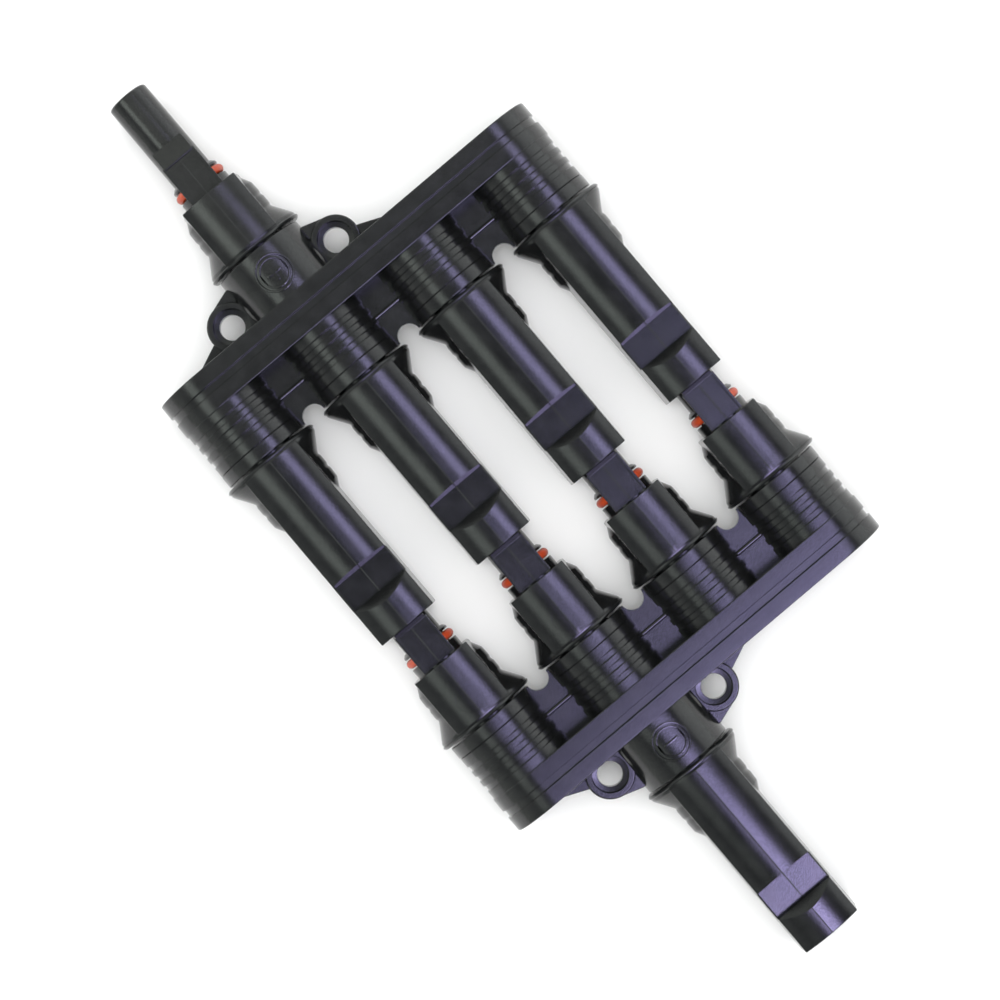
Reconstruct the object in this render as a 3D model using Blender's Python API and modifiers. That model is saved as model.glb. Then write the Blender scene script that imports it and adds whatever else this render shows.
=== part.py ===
"""A pair of four-to-one branch connectors for solar cables, lying flat and partly plugged together.

X runs along the spines and Y along the ports, with +Z up. The origin is on the surface that the pair
lies on, under the middle of the whole. The pin branch is the half at +Y: its four ports are long
shells with a pin in each. The socket branch is the half at -Y: its four ports are short housings
with a round probe, an O-ring and two latch fingers each. A trunk port of the other kind stands on
the far side of each spine.

A port piece is modelled upright: its local Z points out of the port, from the end of the barrel that
holds it, its local X lies along the spine, and its latches are on its local Y sides.
"""

import math

import bmesh
import bpy
from mathutils import Matrix

MM = 0.001
JOIN_GAP = 0.3 * MM
OVERLAP = 2.0 * MM
MERGE = 0.00001

# The spine, and how the ports stand on it
PORT_COUNT = 4
PORT_PITCH = 27.5 * MM
TRUNK_X = -PORT_PITCH / 2
AXIS_HEIGHT = 11.0 * MM
SPINE_DEPTH = 9.0 * MM
SPINE_FLANGE = 3.65 * MM
SPINE_BAND = 3.45 * MM
SPINE_GROOVE_DEPTH = 0.5 * MM
PLUG_GAP = 11.0 * MM

# Barrels
PORT_BARREL_LENGTH = 14.5 * MM
TRUNK_BARREL_LENGTH = 12.3 * MM
RIB_RADIUS = 10.7 * MM
RIB_GROOVE_RADIUS = 10.3 * MM
RIB_PITCH = 2.77 * MM
GROOVE_COUNT = 3
FIRST_GROOVE = 2.1 * MM
GROOVE_WIDTH = 1.4 * MM
TRUNK_BARREL_RADIUS = 10.95 * MM
TAIL_RADIUS = 7.0 * MM
TAIL_LENGTH = 9.0 * MM
LEAD_HOLE_RADIUS = 2.1 * MM

# Webs between the port barrels
WEB_LENGTH = 14.3 * MM
WEB_THICKNESS = 3.0 * MM
WEB_RIB_AT = 6.1 * MM
WEB_RIB_WIDTH = 0.9 * MM
WEB_RIB_THICKNESS = 4.4 * MM
WEB_NOTCH_RADIUS = 2.7 * MM

# Mounting ears
EAR_HOLE_X = 15.0 * MM
EAR_HOLE_OUT = 3.3 * MM
EAR_HOLE_RADIUS = 3.05 * MM
EAR_BOSS_RADIUS = 5.6 * MM
EAR_BOSS_THICKNESS = 6.0 * MM
EAR_THICKNESS = 4.4 * MM
EAR_ROOT_X = 9.0 * MM
EAR_CORNER = (11.1 * MM, 10.4 * MM)
EAR_TANGENT = math.radians(70)
EAR_SHOULDER = (18.0 * MM, 4.1 * MM)
GUSSET_END_X = 27.6 * MM

# Outer form shared by the shells and the housings
FORM_EDGE_X = 7.3 * MM
FORM_MIDDLE_X = 7.8 * MM
FORM_EDGE_Y = 8.5 * MM
FORM_CROWN_Y = 10.8 * MM
FORM_CROWN_STEPS = 4
WING_FLATTENING = 0.87
RIM_THICKNESS = 1.0 * MM
RIM_UNDER = 11.4 * MM
WING_TIP = 12.4 * MM
WING_WAIST = 9.1 * MM
WING_NOTCH = 8.75 * MM
WING_WAIST_AT = 6.3 * MM
WING_NOTCH_AT = 9.6 * MM
WING_BULGE_AT = 12.8 * MM
WING_END_AT = 16.1 * MM

# Shells
SHELL_LENGTH = 48.2 * MM
COLLAR_LENGTH = 9.55 * MM
WINDOW_LENGTH = 7.25 * MM
WINDOW_FLOOR = 6.1 * MM
RAMP_RUN = 2.4 * MM
SLOT_HALF_WIDTH = 4.65 * MM
SLOT_FLOOR = 6.0 * MM
SLOT_CEILING = 8.42 * MM
PROBE_BORE_RADIUS = 5.15 * MM
PROBE_BORE_DEPTH = 29.6 * MM
SEAT_RADIUS = 6.75 * MM
SEAT_DEPTH = 6.7 * MM
PIN_HOLE_RADIUS = 2.3 * MM
PIN_HOLE_LENGTH = 2.0 * MM

# Housings and their probes
HOUSING_LENGTH = 16.3 * MM
PROBE_LENGTH = 28.8 * MM
PROBE_RADIUS = 4.9 * MM
PROBE_ROOT = (6.2 * MM, 2.4 * MM)
PROBE_FLANGE = (6.0 * MM, 5.0 * MM, 6.2 * MM)
SEAL_GROOVE_RADIUS = 4.2 * MM
PROBE_LIP_RADIUS = 2.5 * MM
PROBE_LIP_LENGTH = 0.8 * MM
CONTACT_BORE_RADIUS = 3.45 * MM
SEAL_RADIUS = 5.45 * MM
SEAL_SECTION_RADIUS = 1.0 * MM
SEAL_AT = 3.7 * MM

# Latch fingers, measured from the face of the housing and from the port's axis
FINGER_WIDTH = 8.7 * MM
FINGER_BARB_AT = 9.8 * MM
FINGER_LENGTH = 14.4 * MM
FINGER_UNDER = 6.95 * MM
FINGER_TOP = 8.0 * MM
FINGER_BARB_TOP = 8.3 * MM
FINGER_TIP_TOP = 7.3 * MM

# Contacts and busbars
PIN_RADIUS = 2.0 * MM
PIN_RECESS = 10.0 * MM
PIN_COLLAR_RADIUS = 3.0 * MM
LEAD_RADIUS = 1.8 * MM
SOCKET_RADIUS = 3.2 * MM
SOCKET_BORE_RADIUS = 2.35 * MM
SOCKET_BORE_DEPTH = 20.0 * MM
BAND_GROOVE_RADIUS = 2.75 * MM
BAND_RADII = (2.15 * MM, 2.55 * MM)
BAND_AT = 5.0 * MM
BAND_LENGTH = 8.0 * MM
BUSBAR_HALF = (43.9 * MM, 1.0 * MM, 2.6 * MM)
CAVITY_HALF = (44.2 * MM, 2.7 * MM, 2.9 * MM)

STEPS_LARGE = 16
STEPS_SMALL = 12

# Places worked out along Y, from the trunk probe's tip to the trunk shell's mouth
HALF_BODY = SPINE_DEPTH + PORT_BARREL_LENGTH + TRUNK_BARREL_LENGTH
OVERALL = PROBE_LENGTH + 2 * (HOUSING_LENGTH + HALF_BODY + SHELL_LENGTH) + PLUG_GAP
PIN_SPINE_Y = OVERALL / 2 - PROBE_LENGTH - HOUSING_LENGTH - TRUNK_BARREL_LENGTH - SPINE_DEPTH / 2
SOCKET_SPINE_Y = -OVERALL / 2 + SHELL_LENGTH + TRUNK_BARREL_LENGTH + SPINE_DEPTH / 2
PORT_RIM = SPINE_DEPTH / 2 + PORT_BARREL_LENGTH
TRUNK_RIM = SPINE_DEPTH / 2 + TRUNK_BARREL_LENGTH
LEAD_END = BUSBAR_HALF[1] + JOIN_GAP
PORT_XS = [(number - (PORT_COUNT - 1) / 2) * PORT_PITCH for number in range(PORT_COUNT)]

MATERIALS = {
    "plastic": ((0.018, 0.018, 0.022, 1.0), 0.42, 0.0),
    "seal": ((0.62, 0.10, 0.03, 1.0), 0.45, 0.0),
    "tinned": ((0.72, 0.71, 0.68, 1.0), 0.30, 1.0),
    "brass": ((0.70, 0.52, 0.25, 1.0), 0.32, 1.0),
}


def clear_scene():
    for old in list(bpy.data.objects):
        bpy.data.objects.remove(old)


def new_collection(name, rendered):
    collection = bpy.data.collections.new(name)
    bpy.context.scene.collection.children.link(collection)
    collection.hide_render = not rendered
    return collection


def new_form(name, mesh):
    """Adds a helper: the form that parts take their mesh from, or a piece that is joined or cut away."""
    form = bpy.data.objects.new(name, mesh)
    form.hide_render = True
    form.display_type = "WIRE"
    FORMS.objects.link(form)
    return form


def evaluated_mesh(form):
    bpy.context.view_layer.update()
    graph = bpy.context.evaluated_depsgraph_get()
    return bpy.data.meshes.new_from_object(form.evaluated_get(graph))


def box(name, low, high):
    shape = bmesh.new()
    bmesh.ops.create_cube(shape, size=1.0)
    size = [top - bottom for bottom, top in zip(low, high)]
    middle = [(top + bottom) / 2 for bottom, top in zip(low, high)]
    bmesh.ops.scale(shape, vec=size, verts=shape.verts)
    bmesh.ops.translate(shape, vec=middle, verts=shape.verts)
    mesh = bpy.data.meshes.new(name)
    shape.to_mesh(mesh)
    shape.free()
    return new_form(name, mesh)


def turned(name, profile, steps, flattening=1.0):
    """A solid turned round Z. The profile lists (radius, height) points down the outer side."""
    mesh = bpy.data.meshes.new(name)
    edges = [(number, number + 1) for number in range(len(profile) - 1)]
    mesh.from_pydata([(radius, 0.0, height) for radius, height in profile], edges, [])
    form = new_form(name, mesh)
    screw = form.modifiers.new("Turn", "SCREW")
    screw.axis = "Z"
    screw.angle = math.tau
    screw.steps = steps
    screw.render_steps = steps
    screw.use_merge_vertices = True
    screw.merge_threshold = MERGE
    form.data = evaluated_mesh(form)
    form.modifiers.clear()
    form.data.transform(Matrix.Diagonal((1.0, flattening, 1.0, 1.0)))
    return form


def rod(name, radius, low, high, steps=STEPS_SMALL):
    return turned(name, [(0.0, high), (radius, high), (radius, low), (0.0, low)], steps)


def prism(name, outline, low, high, along="Z"):
    """A flat outline given thickness from low to high. Along Z its points are (x, y), along Y (x, z)
    and along X (z, y)."""
    curve = bpy.data.curves.new(name, "CURVE")
    curve.dimensions = "2D"
    curve.fill_mode = "BOTH"
    curve.extrude = (high - low) / 2
    spline = curve.splines.new("POLY")
    spline.points.add(len(outline) - 1)
    for point, place in zip(spline.points, outline):
        point.co = (place[0], place[1], 0.0, 1.0)
    spline.use_cyclic_u = True
    form = new_form(name + "_outline", curve)
    mesh = evaluated_mesh(form)
    bpy.data.objects.remove(form)
    shape = bmesh.new()
    shape.from_mesh(mesh)
    bmesh.ops.remove_doubles(shape, verts=shape.verts, dist=MERGE)
    bmesh.ops.translate(shape, vec=(0.0, 0.0, (high + low) / 2), verts=shape.verts)
    if along == "X":
        bmesh.ops.transform(shape, matrix=ALONG_X, verts=shape.verts)
    if along == "Y":
        bmesh.ops.transform(shape, matrix=ALONG_Y, verts=shape.verts)
    bmesh.ops.recalc_face_normals(shape, faces=shape.faces)
    shape.to_mesh(mesh)
    shape.free()
    return new_form(name, mesh)


def combine(form, operation, others):
    for other in others:
        change = form.modifiers.new(other.name, "BOOLEAN")
        change.operation = operation
        change.solver = "EXACT"
        change.object = other
    return form


def moved(form, x=0.0, y=0.0, z=0.0):
    form.data.transform(Matrix.Translation((x, y, z)))
    return form


def along_y(form, direction):
    """Lays an upright form down, so that its Z points along +Y or -Y."""
    form.data.transform(Matrix.Rotation(-direction * math.pi / 2, 4, "X"))
    return form


ALONG_X = Matrix(((0, 0, -1, 0), (0, 1, 0, 0), (1, 0, 0, 0), (0, 0, 0, 1)))
ALONG_Y = Matrix(((1, 0, 0, 0), (0, 0, -1, 0), (0, 1, 0, 0), (0, 0, 0, 1)))


# ---------------------------------------------------------------- the overmoulded branch body


def stadium(radius):
    """The spine's outline: straight top and bottom, with round ends about the outermost ports."""
    half_turn = STEPS_LARGE // 2
    points = []
    for side in (1, -1):
        for step in range(half_turn + 1):
            angle = math.pi * (step / half_turn) - side * math.pi / 2
            points.append((side * PORT_XS[-1] + radius * math.cos(angle), radius * math.sin(angle)))
    return points


def spine():
    """Runs along X, with its trunk side at +Y."""
    half = SPINE_DEPTH / 2
    inset = 0.4 * MM
    core = prism("spine_core", stadium(AXIS_HEIGHT - SPINE_GROOVE_DEPTH), inset - half, half - inset, "Y")
    for piece, low, high in (("flange", half - SPINE_FLANGE, half), ("band", -half, SPINE_BAND - half)):
        combine(core, "UNION", [prism("spine_" + piece, stadium(AXIS_HEIGHT), low, high, "Y")])
    return core


def port_barrel(number):
    """Ribbed, and upright with its rim at z = 0 until it is laid down."""
    root = -PORT_BARREL_LENGTH - OVERLAP
    profile = [(0.0, 0.0), (RIB_RADIUS, 0.0)]
    for groove in reversed(range(GROOVE_COUNT)):
        low = -PORT_BARREL_LENGTH + FIRST_GROOVE + groove * RIB_PITCH
        high = low + GROOVE_WIDTH
        profile += [(RIB_RADIUS, high), (RIB_GROOVE_RADIUS, high), (RIB_GROOVE_RADIUS, low), (RIB_RADIUS, low)]
    profile += [(RIB_RADIUS, root), (0.0, root)]
    barrel = along_y(turned(f"port_barrel_{number}", profile, STEPS_LARGE), -1)
    return moved(barrel, x=PORT_XS[number], y=-PORT_RIM)


def web(number):
    """The plate between two port barrels, its cross rib and the notch in its free edge."""
    middle = (PORT_XS[number] + PORT_XS[number + 1]) / 2
    reach = PORT_PITCH / 2 - RIB_GROOVE_RADIUS + OVERLAP
    root = -SPINE_DEPTH / 2
    plate_low = (middle - reach, root - WEB_LENGTH, -WEB_THICKNESS / 2)
    plate_high = (middle + reach, root + OVERLAP, WEB_THICKNESS / 2)
    plate = box(f"web_{number}", plate_low, plate_high)
    rib_edge = root - WEB_RIB_AT
    rib_low = (middle - reach, rib_edge - WEB_RIB_WIDTH, -WEB_RIB_THICKNESS / 2)
    rib_high = (middle + reach, rib_edge, WEB_RIB_THICKNESS / 2)
    rib = box(f"web_rib_{number}", rib_low, rib_high)
    notch = rod(f"web_notch_{number}", WEB_NOTCH_RADIUS, -WEB_THICKNESS, WEB_THICKNESS)
    moved(notch, x=middle, y=root - WEB_LENGTH)
    return plate, rib, notch


def ear(side):
    """One mounting ear beside the trunk barrel, with its boss and its gusset to the spine."""
    edge = SPINE_DEPTH / 2
    outline = [(EAR_ROOT_X, -OVERLAP), (EAR_ROOT_X, EAR_CORNER[1]), EAR_CORNER]
    boss_x = EAR_HOLE_X + EAR_BOSS_RADIUS * math.cos(EAR_TANGENT)
    boss_y = EAR_HOLE_OUT + EAR_BOSS_RADIUS * math.sin(EAR_TANGENT)
    outline.append((boss_x, boss_y))
    outline += [EAR_SHOULDER, (GUSSET_END_X, 0.0), (GUSSET_END_X, -OVERLAP)]
    points = [(TRUNK_X + side * x, edge + y) for x, y in outline]
    plate = prism(f"ear_{side}", points, -EAR_THICKNESS / 2, EAR_THICKNESS / 2)
    boss = rod(f"ear_boss_{side}", EAR_BOSS_RADIUS, -EAR_BOSS_THICKNESS / 2, EAR_BOSS_THICKNESS / 2)
    hole = rod(f"ear_hole_{side}", EAR_HOLE_RADIUS, -EAR_BOSS_THICKNESS, EAR_BOSS_THICKNESS, STEPS_LARGE)
    for piece in (boss, hole):
        moved(piece, x=TRUNK_X + side * EAR_HOLE_X, y=edge + EAR_HOLE_OUT)
    return plate, boss, hole


def trunk_barrel():
    profile_low = -TRUNK_BARREL_LENGTH - OVERLAP
    barrel = along_y(rod("trunk_barrel", TRUNK_BARREL_RADIUS, profile_low, 0.0, STEPS_LARGE), 1)
    return moved(barrel, x=TRUNK_X, y=TRUNK_RIM)


def barrel_bore(name, x, rim, direction):
    """The hole for a port piece's tail, and the narrower one for its lead, down to the busbar."""
    tail = TAIL_RADIUS + JOIN_GAP
    floor = -TAIL_LENGTH - JOIN_GAP
    profile = [(0.0, OVERLAP), (tail, OVERLAP), (tail, floor), (LEAD_HOLE_RADIUS, floor)]
    end = CAVITY_HALF[1] / 2 - rim
    profile += [(LEAD_HOLE_RADIUS, end), (0.0, end)]
    bore = along_y(turned(name, profile, STEPS_SMALL), direction)
    return moved(bore, x=x, y=direction * rim)


def branch_body():
    """Both halves have this moulding, which has its trunk side at +Y."""
    joined = [trunk_barrel()]
    cut = [barrel_bore("trunk_bore", TRUNK_X, TRUNK_RIM, 1)]
    joined += [port_barrel(number) for number in range(PORT_COUNT)]
    cut += [barrel_bore(f"port_bore_{number}", x, PORT_RIM, -1) for number, x in enumerate(PORT_XS)]
    for number in range(PORT_COUNT - 1):
        plate, rib, notch = web(number)
        joined += [plate, rib]
        cut.append(notch)
    for side in (1, -1):
        plate, boss, hole = ear(side)
        joined += [plate, boss]
        cut.append(hole)
    cut.append(box("busbar_cavity", [-half for half in CAVITY_HALF], CAVITY_HALF))
    body = combine(spine(), "UNION", joined)
    return evaluated_mesh(combine(body, "DIFFERENCE", cut))


# ---------------------------------------------------------------- shells and housings


def form_outline():
    """The crowned outline: crown arcs at +Y and -Y, and sides that lean out to the middle."""
    rise = FORM_CROWN_Y - FORM_EDGE_Y
    crown_radius = (FORM_EDGE_X**2 + rise**2) / (2 * rise)
    spread = math.asin(FORM_EDGE_X / crown_radius)
    crown = []
    for step in range(FORM_CROWN_STEPS + 1):
        angle = spread * (1 - 2 * step / FORM_CROWN_STEPS)
        height = FORM_CROWN_Y - crown_radius + crown_radius * math.cos(angle)
        crown.append((crown_radius * math.sin(angle), height))
    other = [(-x, -y) for x, y in crown]
    return crown + [(-FORM_MIDDLE_X, 0.0)] + other + [(FORM_MIDDLE_X, 0.0)]


def winged_form(name, length):
    """The outer form with its grip wings and rim, and the tail that sits in the barrel."""
    block = prism(name, form_outline(), JOIN_GAP, length)
    profile = [(0.0, WING_END_AT), (FORM_EDGE_X, WING_END_AT), (WING_WAIST, WING_BULGE_AT)]
    profile += [(WING_NOTCH, WING_NOTCH_AT), (WING_WAIST, WING_WAIST_AT)]
    profile += [(WING_TIP, RIM_THICKNESS + JOIN_GAP), (RIM_UNDER, JOIN_GAP * 2), (0.0, JOIN_GAP * 2)]
    wings = turned(name + "_wings", profile, STEPS_LARGE, WING_FLATTENING)
    tail = rod(name + "_tail", TAIL_RADIUS, -TAIL_LENGTH, OVERLAP)
    return combine(block, "UNION", [wings, tail])


def pin_shell():
    window_start = SHELL_LENGTH - COLLAR_LENGTH - WINDOW_LENGTH
    window_end = SHELL_LENGTH - COLLAR_LENGTH
    above = FORM_CROWN_Y + OVERLAP
    ramp_rise = above - SLOT_CEILING - 0.05 * MM
    window = [
        (window_start + 0.5 * MM, WINDOW_FLOOR),
        (window_end, WINDOW_FLOOR),
        (window_end, SLOT_CEILING + 0.05 * MM),
        (window_end + ramp_rise * RAMP_RUN / (FORM_CROWN_Y - FORM_EDGE_Y), above),
        (window_start - 0.2 * MM, above),
    ]
    cut = []
    for side in (1, -1):
        points = [(z, side * y) for z, y in window]
        cut.append(prism(f"window_{side}", points, -2 * FORM_MIDDLE_X, 2 * FORM_MIDDLE_X, "X"))
        ys = sorted((side * SLOT_FLOOR, side * SLOT_CEILING))
        slot_low = (-SLOT_HALF_WIDTH, ys[0], window_end - OVERLAP)
        slot_high = (SLOT_HALF_WIDTH, ys[1], SHELL_LENGTH + OVERLAP)
        cut.append(box(f"slot_{side}", slot_low, slot_high))
    top = SHELL_LENGTH + OVERLAP
    seat = SHELL_LENGTH - SEAT_DEPTH
    bore = SHELL_LENGTH - PROBE_BORE_DEPTH
    rear = bore - PIN_HOLE_LENGTH
    profile = [(0.0, top), (SEAT_RADIUS, top), (SEAT_RADIUS, seat), (PROBE_BORE_RADIUS, seat)]
    profile += [(PROBE_BORE_RADIUS, bore), (PIN_HOLE_RADIUS, bore), (PIN_HOLE_RADIUS, rear)]
    rear_radius = PIN_COLLAR_RADIUS + JOIN_GAP
    low = -TAIL_LENGTH - OVERLAP
    profile += [(rear_radius, rear), (rear_radius, low), (0.0, low)]
    cut.append(turned("shell_bore", profile, STEPS_SMALL))
    return evaluated_mesh(combine(winged_form("pin_shell_form", SHELL_LENGTH), "DIFFERENCE", cut))


def socket_housing():
    face = HOUSING_LENGTH
    tip = face + PROBE_LENGTH
    seal_low = face + PROBE_ROOT[1]
    flange_low = face + PROBE_FLANGE[1]
    flange_high = face + PROBE_FLANGE[2]
    chamfer = 0.5 * MM
    profile = [(0.0, tip), (PROBE_RADIUS - chamfer, tip), (PROBE_RADIUS, tip - chamfer)]
    profile += [(PROBE_RADIUS, flange_high), (PROBE_FLANGE[0], flange_high)]
    profile += [(PROBE_FLANGE[0], flange_low), (SEAL_GROOVE_RADIUS, flange_low)]
    profile += [(SEAL_GROOVE_RADIUS, seal_low), (PROBE_ROOT[0], seal_low)]
    profile += [(PROBE_ROOT[0], face - OVERLAP), (0.0, face - OVERLAP)]
    probe = turned("probe", profile, STEPS_SMALL)
    lip = tip - PROBE_LIP_LENGTH
    low = -TAIL_LENGTH - OVERLAP
    hole = [(0.0, tip + OVERLAP), (PROBE_LIP_RADIUS, tip + OVERLAP), (PROBE_LIP_RADIUS, lip)]
    hole += [(CONTACT_BORE_RADIUS, lip), (CONTACT_BORE_RADIUS, low), (0.0, low)]
    housing = combine(winged_form("socket_housing_form", HOUSING_LENGTH), "UNION", [probe])
    return evaluated_mesh(combine(housing, "DIFFERENCE", [turned("contact_bore", hole, STEPS_SMALL)]))


def seal():
    """An O-ring, as a round section turned round Z."""
    sides = 6
    profile = []
    for side in range(sides + 1):
        angle = -math.tau * side / sides
        radius = SEAL_RADIUS + SEAL_SECTION_RADIUS * math.cos(angle)
        profile.append((radius, HOUSING_LENGTH + SEAL_AT + SEAL_SECTION_RADIUS * math.sin(angle)))
    return turned("seal_form", profile, STEPS_LARGE).data


def latch_finger():
    """Its local origin is at its root, on its hinge. Z points along it and Y away from the port's axis."""
    rise = [y - (FINGER_UNDER + FINGER_TOP) / 2 for y in (FINGER_UNDER, FINGER_TOP)]
    under, top = rise
    barb = top + FINGER_BARB_TOP - FINGER_TOP
    tip_top = top + FINGER_TIP_TOP - FINGER_TOP
    side = [
        (JOIN_GAP, under),
        (FINGER_LENGTH, under),
        (FINGER_LENGTH, tip_top),
        (FINGER_BARB_AT + 0.4 * MM, barb),
        (FINGER_BARB_AT, barb),
        (FINGER_BARB_AT, top),
        (JOIN_GAP, top),
    ]
    return prism("latch_finger_form", side, -FINGER_WIDTH / 2, FINGER_WIDTH / 2, "X").data


# ---------------------------------------------------------------- contacts and busbars


def pin_contact(name, lead_length):
    """A solid pin with a collar behind the shell's wall, and a lead to the busbar."""
    tip = SHELL_LENGTH - PIN_RECESS
    collar_high = SHELL_LENGTH - PROBE_BORE_DEPTH - PIN_HOLE_LENGTH - JOIN_GAP
    collar_low = 0.0
    nose = 1.0 * MM
    profile = [(0.0, tip), (PIN_RADIUS - nose, tip), (PIN_RADIUS, tip - nose), (PIN_RADIUS, collar_high)]
    profile += [(PIN_COLLAR_RADIUS, collar_high), (PIN_COLLAR_RADIUS, collar_low)]
    profile += [(LEAD_RADIUS, collar_low), (LEAD_RADIUS, -lead_length), (0.0, -lead_length)]
    return turned(name, profile, STEPS_SMALL).data


def socket_contact(name, lead_length):
    """A sleeve that takes the pin, with a groove inside for its contact band, and a lead."""
    tip = HOUSING_LENGTH + PROBE_LENGTH - PROBE_LIP_LENGTH - JOIN_GAP
    floor = tip - SOCKET_BORE_DEPTH
    sleeve_low = floor - 3.0 * MM
    outside = [(SOCKET_BORE_RADIUS, tip), (SOCKET_RADIUS, tip), (SOCKET_RADIUS, sleeve_low)]
    outside += [(LEAD_RADIUS, sleeve_low), (LEAD_RADIUS, -lead_length), (0.0, -lead_length)]
    groove_high = tip - BAND_AT
    groove_low = groove_high - BAND_LENGTH
    inside = [(0.0, floor), (SOCKET_BORE_RADIUS, floor), (SOCKET_BORE_RADIUS, groove_low)]
    inside += [(BAND_GROOVE_RADIUS, groove_low), (BAND_GROOVE_RADIUS, groove_high)]
    inside += [(SOCKET_BORE_RADIUS, groove_high)]
    return turned(name, inside + outside, STEPS_SMALL).data


def contact_band():
    """The spring sleeve in the socket contact's groove."""
    inner, outer = BAND_RADII
    high = HOUSING_LENGTH + PROBE_LENGTH - PROBE_LIP_LENGTH - JOIN_GAP - BAND_AT - JOIN_GAP
    low = high - BAND_LENGTH + 2 * JOIN_GAP
    profile = [(inner, high), (outer, high), (outer, low), (inner, low), (inner, high)]
    return turned("contact_band_form", profile, STEPS_SMALL).data


# ---------------------------------------------------------------- placing


def new_material(name):
    colour, roughness, metallic = MATERIALS[name]
    material = bpy.data.materials.new(name)
    material.use_nodes = True
    shader = material.node_tree.nodes["Principled BSDF"]
    shader.inputs["Base Color"].default_value = colour
    shader.inputs["Roughness"].default_value = roughness
    shader.inputs["Metallic"].default_value = metallic
    return material


def place(name, mesh, material, parent, location=(0.0, 0.0, 0.0), rotation=(0.0, 0.0, 0.0)):
    """Adds a named part. Copies of a piece share one mesh."""
    if not mesh.materials:
        mesh.materials.append(FINISHES[material])
        mesh.shade_smooth()
        mesh.set_sharp_from_angle(angle=math.radians(35))
    part = bpy.data.objects.new(name, mesh)
    PARTS.objects.link(part)
    part.parent = parent
    part.location = location
    part.rotation_euler = rotation
    return part


def new_empty(name, parent, location, rotation=(0.0, 0.0, 0.0)):
    """A frame that parts are placed in."""
    empty = bpy.data.objects.new(name, None)
    empty.empty_display_size = 5.0 * MM
    PARTS.objects.link(empty)
    empty.parent = parent
    empty.location = location
    empty.rotation_euler = rotation
    return empty


def place_pin_port(prefix, suffix, port):
    place(f"{prefix}_shell{suffix}", MESHES["pin_shell"], "plastic", port)
    kind = "trunk_pin" if prefix.endswith("trunk") else "port_pin"
    place(f"{prefix}_pin{suffix}", MESHES[kind], "tinned", port)


def place_socket_port(prefix, suffix, port):
    """A housing with its contact, band, O-ring and two latch fingers."""
    place(f"{prefix}_housing{suffix}", MESHES["socket_housing"], "plastic", port)
    kind = "trunk_socket" if prefix.endswith("trunk") else "port_socket"
    place(f"{prefix}_socket{suffix}", MESHES[kind], "tinned", port)
    place(f"{prefix}_band{suffix}", MESHES["contact_band"], "brass", port)
    place(f"{prefix}_seal{suffix}", MESHES["seal"], "seal", port)
    root = (FINGER_UNDER + FINGER_TOP) / 2
    up = port.matrix_world.to_3x3().col[1].z
    for name, side in (("top", up), ("bottom", -up)):
        turn = 0.0 if side > 0 else math.pi
        hinge = (0.0, math.copysign(root, side), HOUSING_LENGTH)
        place(f"{prefix}_latch{suffix}_{name}", MESHES["latch_finger"], "plastic", port, hinge, (0.0, 0.0, turn))


def build_half(prefix, spine_y, trunk_direction, place_port, place_trunk):
    """One half: its body and busbar, four ports on one side and a trunk port on the other."""
    turn = 0.0 if trunk_direction > 0 else math.pi
    half = new_empty(prefix, None, (0.0, spine_y, AXIS_HEIGHT))
    place(prefix + "_body", MESHES["branch_body"], "plastic", half, rotation=(turn, 0.0, 0.0))
    place(prefix + "_busbar", MESHES["busbar"], "brass", half)
    outward = -trunk_direction * math.pi / 2
    ports = []
    for number, x in enumerate(PORT_XS):
        place_at = (x, -trunk_direction * PORT_RIM, 0.0)
        ports.append(new_empty(f"{prefix}_port_{number + 1}_axis", half, place_at, (-outward, 0.0, 0.0)))
    trunk_at = (TRUNK_X, trunk_direction * TRUNK_RIM, 0.0)
    trunk = new_empty(prefix + "_trunk_axis", half, trunk_at, (outward, 0.0, 0.0))
    bpy.context.view_layer.update()
    for number, port in enumerate(ports):
        place_port(prefix, f"_{number + 1}", port)
    place_trunk(prefix + "_trunk", "", trunk)


clear_scene()
PARTS = new_collection("solar_branch_connector_pair", rendered=True)
FORMS = new_collection("forms_and_cutters", rendered=False)
FINISHES = {name: new_material(name) for name in MATERIALS}
MESHES = {
    "branch_body": branch_body(),
    "pin_shell": pin_shell(),
    "socket_housing": socket_housing(),
    "seal": seal(),
    "latch_finger": latch_finger(),
    "port_pin": pin_contact("port_pin_form", PORT_RIM - LEAD_END),
    "trunk_pin": pin_contact("trunk_pin_form", TRUNK_RIM - LEAD_END),
    "port_socket": socket_contact("port_socket_form", PORT_RIM - LEAD_END),
    "trunk_socket": socket_contact("trunk_socket_form", TRUNK_RIM - LEAD_END),
    "contact_band": contact_band(),
    "busbar": box("busbar_form", [-half for half in BUSBAR_HALF], BUSBAR_HALF).data,
}
build_half("pin_branch", PIN_SPINE_Y, 1, place_pin_port, place_socket_port)
build_half("socket_branch", SOCKET_SPINE_Y, -1, place_socket_port, place_pin_port)
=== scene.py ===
"""The looks of the pair of four-to-one solar branch connectors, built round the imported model.

Shapes are made in millimetres and scaled once. A port piece is made upright: Z points out of its
port from the end of the barrel, X lies along the spine and the latches are on the Y sides.
"""

import math

import bmesh
import bpy
from mathutils import Matrix, Vector


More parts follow.
